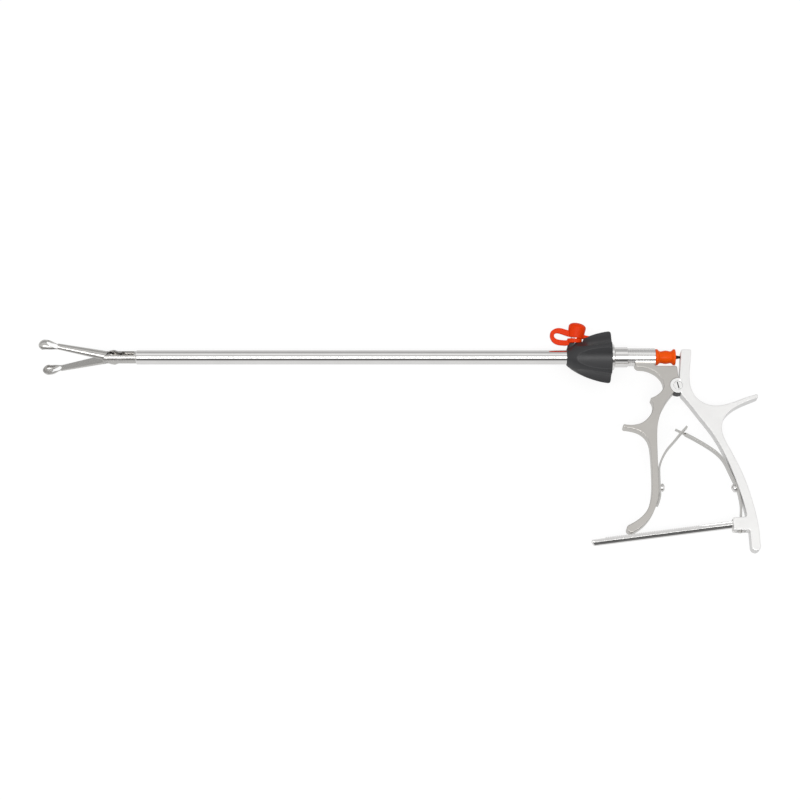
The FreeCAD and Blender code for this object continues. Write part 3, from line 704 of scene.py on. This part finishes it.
FLAT_X = 60.45
FRONT_LEAF = (
    (58.4, -107.6), (59.5, -104.6), (FLAT_X, -100.8), (FLAT_X, -97), (FLAT_X, -92.5), (FLAT_X, -88.5),
    (FLAT_X + 0.1, -84), (FLAT_X + 0.4, -80.6), (62.8, -74.8), (66.6, -68.1), (72.0, -61.8), (76.4, -56.4),
    (81.0, -51.4),
)
REAR_LEAF = (
    (114.3, -116.2), (114.9, -108.3), (114.2, -101.0), (112.74, -94.85), (109.3, -85.9), (105.0, -75.9),
    (100.2, -70.1), (94.0, -65.3), (86.0, -60.2), (78.7, -56.1), (73.0, -53.2),
)
LEAF_WIDTH, TONGUE_WIDTH, LEAF_THICK, TAIL_THICK = 5.0, 1.8, 1.3, 1.0
REAR_SCREW_TURN = math.radians(195.8)

# Screw head: place along the screw and radius
SCREW_HEAD = (
    (0.0, 2.3), (0.8, 2.3), (0.95, 2.75), (1.05, 2.9), (1.45, 2.9), (1.9, 2.75), (2.3, 2.4), (2.65, 1.9),
    (2.85, 1.3), (2.95, 0.6),
)


class FORCEPS_OT_springs(bpy.types.Operator):
    """Bend the two leaf springs, hook one through the other and screw them to the arms"""

    bl_idname = "forceps.springs"
    bl_label = "Leaf springs"

    def execute(self, context):
        self.front()
        self.rear()
        self.screw("front_spring_screw", "front_leaf_screw", "handle", (61.0, -94.8, 0), (1, 0, 0))
        way = (math.cos(REAR_SCREW_TURN), math.sin(REAR_SCREW_TURN), 0)
        self.screw("rear_spring_screw", "rear_leaf_screw", "lever", (112.3, -94.9, 0), way)
        return {"FINISHED"}

    def front(self):
        leaf = drawn_form(through(FRONT_LEAF, 5), LEAF_WIDTH, LEAF_THICK)
        slot = block((76.1, -56.8, 0), (7.2, 7.8, 2.4))
        cut(leaf, slot)
        bevelled(leaf, 0.12, 2)
        finish_piece(leaf, "front_spring", "spring", None, "front_leaf_spring", slot="tool_steel")
        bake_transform(leaf)

    def rear(self):
        path = through(REAR_LEAF, 5)
        shoulder = (LEAF_WIDTH + TONGUE_WIDTH) / 2
        widths = [LEAF_WIDTH if p.x > 80 else TONGUE_WIDTH if p.x < 79 else shoulder for p in path]
        thicks = [TAIL_THICK if p.x > 113.5 else LEAF_THICK for p in path]
        leaf = drawn_form(path, LEAF_WIDTH, TAIL_THICK, widths, thicks)
        bevelled(leaf, 0.12, 2)
        finish_piece(leaf, "rear_spring", "spring", None, "rear_leaf_spring", slot="tool_steel")
        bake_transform(leaf)

    def screw(self, name, node, body, place, way):
        head = turned_form(SCREW_HEAD, 64)
        slot = block((3.0, 0, 0), (1.8, 0.8, 6.4), 0.5)
        cut(head, slot)
        bevelled(head, 0.08, 2, 40)
        shank = turned_form([(-3.7, 1.25), (0.8, 1.25)], 32)
        screw = joined(head, shank)
        laid(screw, place, way)
        finish_piece(screw, name, "turned", body, node, slot="tool_steel")


# Castings and forgings


# CAD node: (name of the finished piece, finish, body)
CASTINGS = {
    "front_handle": ("fixed_arm", "front", "handle"),
    "thumb_lever": ("moving_arm", "lever", "lever"),
    "upper_jaw": ("jaw_upper_forging", "tool", "jaw_upper"),
    "lower_jaw": ("jaw_lower_forging", "tool", "jaw_lower"),
    "fork": ("jaw_fork", "tool", "shaft"),
    "outer_tube": ("shaft_tube", "bright", "shaft"),
    "knob_collar": ("knob_ring", "turned", "shaft"),
    "coupling_sleeve": ("barrel_sleeve", "turned", "handle"),
    "ratchet_pin": ("hinge_pin", "lever", "lever"),
    "pull_rod": ("drive_rod", "turned", "rod"),
    "ball_end": ("rod_ball", "turned", "rod"),
    "pivot_screw": ("pivot_screw_head", "lever", "handle"),
}

# Limits of the painted spots, in millimetres; a side wall's normal has less than SIDE along Z
BARREL_START, BARREL_END, BARREL_SKIN = 41, 62, 6.45
SIDE, SLOT_SIDE = 0.3, 0.9
HANDLE_WALL, LEVER_WALL, WEB_LOW = 6.2, 5.7, -23
SLOT_FLOOR, SLOT_WALL_TOP = 3.9, 3.95
ROD_NECK = 75


def on_barrel(p, n):
    return BARREL_START < p.x < BARREL_END and (p.y ** 2 + p.z ** 2) ** 0.5 < BARREL_SKIN


def by_pivot(p, n, reach):
    return abs(n.z) < SIDE and (p - PIVOT / MM).xy.length < reach


# Painted shadow: the walls round the pivot, the screw's slot and the rod's neck get near-black steel where they
# lie in shade
SPOTS = (
    ("fixed_arm", "barrel", on_barrel),
    ("fixed_arm", "shadow", lambda p, n: by_pivot(p, n, HANDLE_WALL) and p.y < WEB_LOW),
    ("moving_arm", "shadow", lambda p, n: by_pivot(p, n, LEVER_WALL)),
    (
        "pivot_screw_head", "shadow",
        lambda p, n: p.z < SLOT_WALL_TOP and abs(n.z) < SLOT_SIDE or p.z < SLOT_FLOOR,
    ),
    ("drive_rod", "shadow", lambda p, n: p.x > ROD_NECK),
)


class FORCEPS_OT_castings(bpy.types.Operator):
    """Finish the handle, the lever, the jaws and the other steel pieces from their CAD forms"""

    bl_idname = "forceps.castings"
    bl_label = "Castings and forgings"

    def execute(self, context):
        slots = {row["node"]: row["material_slot"] for row in frame["record"]["subparts"]}
        for node, (name, finish, body) in CASTINGS.items():
            finish_piece(skin_of(node), name, finish, body, node, slot=slots[node], angle=CASTING_EDGE)
        for name, finish, where in SPOTS:
            paint(bpy.data.objects[name], finish, where)
        return {"FINISHED"}


class FORCEPS_OT_ratchet(bpy.types.Operator):
    """Grind the ratchet bar's faces and cut its row of teeth"""

    bl_idname = "forceps.ratchet"
    bl_label = "Ratchet bar"

    def execute(self, context):
        end, half, width = -101.6, 2.2, 5.0
        tooth, pitch, first, plain_end = 0.7, 1.5, -28.5, 8
        slope = math.radians(7.5)
        stretch = 1.286  # the lower chamfers are made at 45 degrees and then drawn out in height
        bar = block(
            ((end + half) / 2, -tooth / 2 / stretch, 0), (half - end, (2 * half - tooth) / stretch, width)
        )
        round_edges(bar, 1.4, 1, lambda p: p.y < -1)
        bar.scale = (1, stretch, 1)
        settle(bar)
        round_edges(bar, 1.5, 5, lambda p: p.x < end + 0.1 and p.y < -0.2)
        bevelled(bar, 0.15, 2, 25)
        pin_hole = laid(turned_form([(-5, 1.35), (5, 1.35)], 48), (0, 0, 0), (0, 0, 1))
        cut(bar, pin_hole)
        land = block((-12.2, 1.8, 0), (28.6, 0.8, width))
        bevelled(land, 0.3, 2)
        teeth = block((first - 0.7, half - tooth * 0.6, 0), (1.35, 1.2 * tooth, width))
        editing(teeth)
        mesh = bmesh.from_edit_mesh(teeth.data)
        for v in mesh.verts:
            v.select = v.co.y > (half - tooth) * MM and v.co.x < (first - 0.7) * MM
        mesh.select_flush_mode()
        bmesh.update_edit_mesh(teeth.data)
        bpy.ops.transform.translate(value=(0.001, 0, 0))
        only(teeth)
        row = teeth.modifiers.new("row", "ARRAY")
        row.count = int((-end + first - plain_end) / pitch)
        row.use_relative_offset = False
        row.use_constant_offset = True
        row.constant_offset_displace = (-pitch * MM, 0, 0)
        bpy.ops.object.modifier_apply(modifier=row.name)
        bar = joined(bar, land, teeth)
        placed(bar, Matrix.Translation(HINGE) @ Matrix.Rotation(slope, 4, "Z"))
        finish_piece(bar, "toothed_bar", "bar", "ratchet", "ratchet_bar", slot="tool_steel")
        return {"FINISHED"}


# Stage


TABLE_SIZE = 6
TABLE_GAP = 0.0002
TABLE_WHITE = 0.7
TABLE_MATT = 0.2
MIRROR_DROP = 0.15

LAMP_DISTANCE = 1.7
LAMP_HEIGHT = math.radians(66)
LAMP_SIZE = (1.8, 0.35)


class FORCEPS_OT_stage(bpy.types.Operator):
    """Lay the white table, hang the lamps and set the camera"""

    bl_idname = "forceps.stage"
    bl_label = "Stage"

    def execute(self, context):
        s = context.scene.forceps_stage
        self.table(s)
        self.world(s)
        self.lamps(s)
        self.camera(s)
        context.scene.view_settings.view_transform = "Standard"
        return {"FINISHED"}

    def table(self, s):
        """Table that is white to the camera, a pale grey floor in the steel, and keeps the tool's shadow."""
        deselect()
        low = CAD_BOX[0][2]
        place = (s.target[0], s.target[1], low - TABLE_GAP)
        bpy.ops.mesh.primitive_plane_add(size=TABLE_SIZE, location=place)
        table = bpy.context.object
        table.name = "table"
        material = bpy.data.materials.new("white_table")
        material.use_nodes = True
        nodes, links = material.node_tree.nodes, material.node_tree.links
        nodes.clear()
        out = nodes.new("ShaderNodeOutputMaterial")
        path = nodes.new("ShaderNodeLightPath")
        mirrored = nodes.new("ShaderNodeMath")
        mirrored.operation = "MAXIMUM"
        links.new(path.outputs["Is Glossy Ray"], mirrored.inputs[0])
        links.new(path.outputs["Is Transmission Ray"], mirrored.inputs[1])
        plain = nodes.new("ShaderNodeBsdfDiffuse")
        plain.inputs["Color"].default_value = (TABLE_WHITE, TABLE_WHITE, TABLE_WHITE, 1)
        below = plain.outputs[0]
        glows = (
            (mirrored.outputs[0], s.floor - MIRROR_DROP),
            (path.outputs["Is Camera Ray"], s.table_glow),
        )
        for seen, strength in glows:
            glow = nodes.new("ShaderNodeEmission")
            glow.inputs["Strength"].default_value = strength
            matt = nodes.new("ShaderNodeBsdfDiffuse")
            matt.inputs["Color"].default_value = (TABLE_MATT, TABLE_MATT, TABLE_MATT, 1)
            lit = nodes.new("ShaderNodeAddShader")
            links.new(glow.outputs[0], lit.inputs[0])
            links.new(matt.outputs[0], lit.inputs[1])
            mix = nodes.new("ShaderNodeMixShader")
            links.new(seen, mix.inputs["Fac"])
            links.new(below, mix.inputs[1])
            links.new(lit.outputs[0], mix.inputs[2])
            below = mix.outputs[0]
        links.new(below, out.inputs["Surface"])
        table.data.materials.append(material)

    def world(self, s):
        """Strip-lit studio: tones by angle round the shaft, from the front over the top to the back."""
        world = bpy.data.worlds.new("studio")
        bpy.context.scene.world = world
        world.use_nodes = True
        nodes, links = world.node_tree.nodes, world.node_tree.links
        nodes.clear()
        out = nodes.new("ShaderNodeOutputWorld")
        place = nodes.new("ShaderNodeTexCoord")
        apart = nodes.new("ShaderNodeSeparateXYZ")
        links.new(place.outputs["Generated"], apart.inputs[0])
        front = nodes.new("ShaderNodeMath")
        front.operation = "MULTIPLY"
        front.inputs[1].default_value = -1
        links.new(apart.outputs["Y"], front.inputs[0])
        turn = nodes.new("ShaderNodeMath")
        turn.operation = "ARCTAN2"
        links.new(apart.outputs["Z"], turn.inputs[0])
        links.new(front.outputs[0], turn.inputs[1])
        share = nodes.new("ShaderNodeMapRange")
        share.inputs["From Max"].default_value = math.pi
        links.new(turn.outputs[0], share.inputs["Value"])
        strips = nodes.new("ShaderNodeValToRGB")
        band = strips.color_ramp
        tones = [
            (0, s.floor), (8, 0.70), (16, 0.50), (24, 0.30), (31, s.flag), (41, s.flag), (46, 0.4),
            (51, 0.85), (57, s.key), (73, s.key), (80, 0.85), (88, 0.66), (97, 0.60), (106, 0.72),
            (114, s.top), (124, s.top), (134, 0.58), (150, s.back), (165, s.back), (180, 0.6),
        ]
        while len(band.elements) < len(tones):
            band.elements.new(0.5)
        for element, (angle, tone) in zip(band.elements, tones):
            element.position = angle / 180
            element.color = (tone, tone, tone, 1)
        links.new(share.outputs[0], strips.inputs["Fac"])
        room = nodes.new("ShaderNodeBackground")
        links.new(strips.outputs["Color"], room.inputs["Color"])
        white = nodes.new("ShaderNodeBackground")
        path = nodes.new("ShaderNodeLightPath")
        mix = nodes.new("ShaderNodeMixShader")
        links.new(path.outputs["Is Camera Ray"], mix.inputs["Fac"])
        links.new(room.outputs[0], mix.inputs[1])
        links.new(white.outputs[0], mix.inputs[2])
        links.new(mix.outputs[0], out.inputs["Surface"])

    def lamps(self, s):
        deselect()
        way = Vector((0, -math.cos(LAMP_HEIGHT), math.sin(LAMP_HEIGHT)))
        place = Vector(s.target) + LAMP_DISTANCE * way
        bpy.ops.object.light_add(type="AREA", location=place, rotation=(math.pi / 2 - LAMP_HEIGHT, 0, 0))
        lamp = bpy.context.object
        lamp.name = "softbox"
        lamp.data.shape = "RECTANGLE"
        lamp.data.size, lamp.data.size_y = LAMP_SIZE
        lamp.data.energy = s.softbox

    def camera(self, s):
        deselect()
        target = Vector(s.target)
        aim = Vector((0, -math.cos(s.elevation), math.sin(s.elevation)))
        tilt = math.pi / 2 - s.elevation
        bpy.ops.object.camera_add(location=target + aim * s.distance, rotation=(tilt, 0, 0))
        camera = bpy.context.object
        camera.data.sensor_width = 36
        camera.data.lens = camera.data.sensor_width * s.distance / s.view_width
        camera.data.clip_start = 0.01
        bpy.context.scene.camera = camera


class FORCEPS_PT_panel(bpy.types.Panel):
    """Buttons and sizes for the forceps"""

    bl_label = "Grasping Forceps"
    bl_idname = "FORCEPS_PT_panel"
    bl_space_type = "VIEW_3D"
    bl_region_type = "UI"
    bl_category = "Forceps"

    def draw(self, context):
        for group in SETTINGS:
            box = self.layout.box()
            settings = getattr(context.scene, group)
            for key in settings.bl_rna.properties.keys():
                if key not in ("rna_type", "name"):
                    box.prop(settings, key)
        for operator in OPERATORS:
            self.layout.operator(operator.bl_idname)


SETTINGS = {
    "forceps_finish": FinishSettings,
    "forceps_knob": KnobSettings,
    "forceps_stage": StageSettings,
}

OPERATORS = (
    FORCEPS_OT_finishes,
    FORCEPS_OT_knob,
    FORCEPS_OT_port_cap,
    FORCEPS_OT_seal,
    FORCEPS_OT_springs,
    FORCEPS_OT_castings,
    FORCEPS_OT_ratchet,
    FORCEPS_OT_stage,
)


def register():
    for cls in (*SETTINGS.values(), *OPERATORS, FORCEPS_PT_panel):
        bpy.utils.register_class(cls)
    for key, cls in SETTINGS.items():
        setattr(bpy.types.Scene, key, bpy.props.PointerProperty(type=cls))


def unregister():
    for key in SETTINGS:
        delattr(bpy.types.Scene, key)
    for cls in reversed((*SETTINGS.values(), *OPERATORS, FORCEPS_PT_panel)):
        bpy.utils.unregister_class(cls)


def main():
    register()
    for operator in OPERATORS:
        area, action = operator.bl_idname.split(".")
        getattr(getattr(bpy.ops, area), action)()


if __name__ == "__main__":
    main()
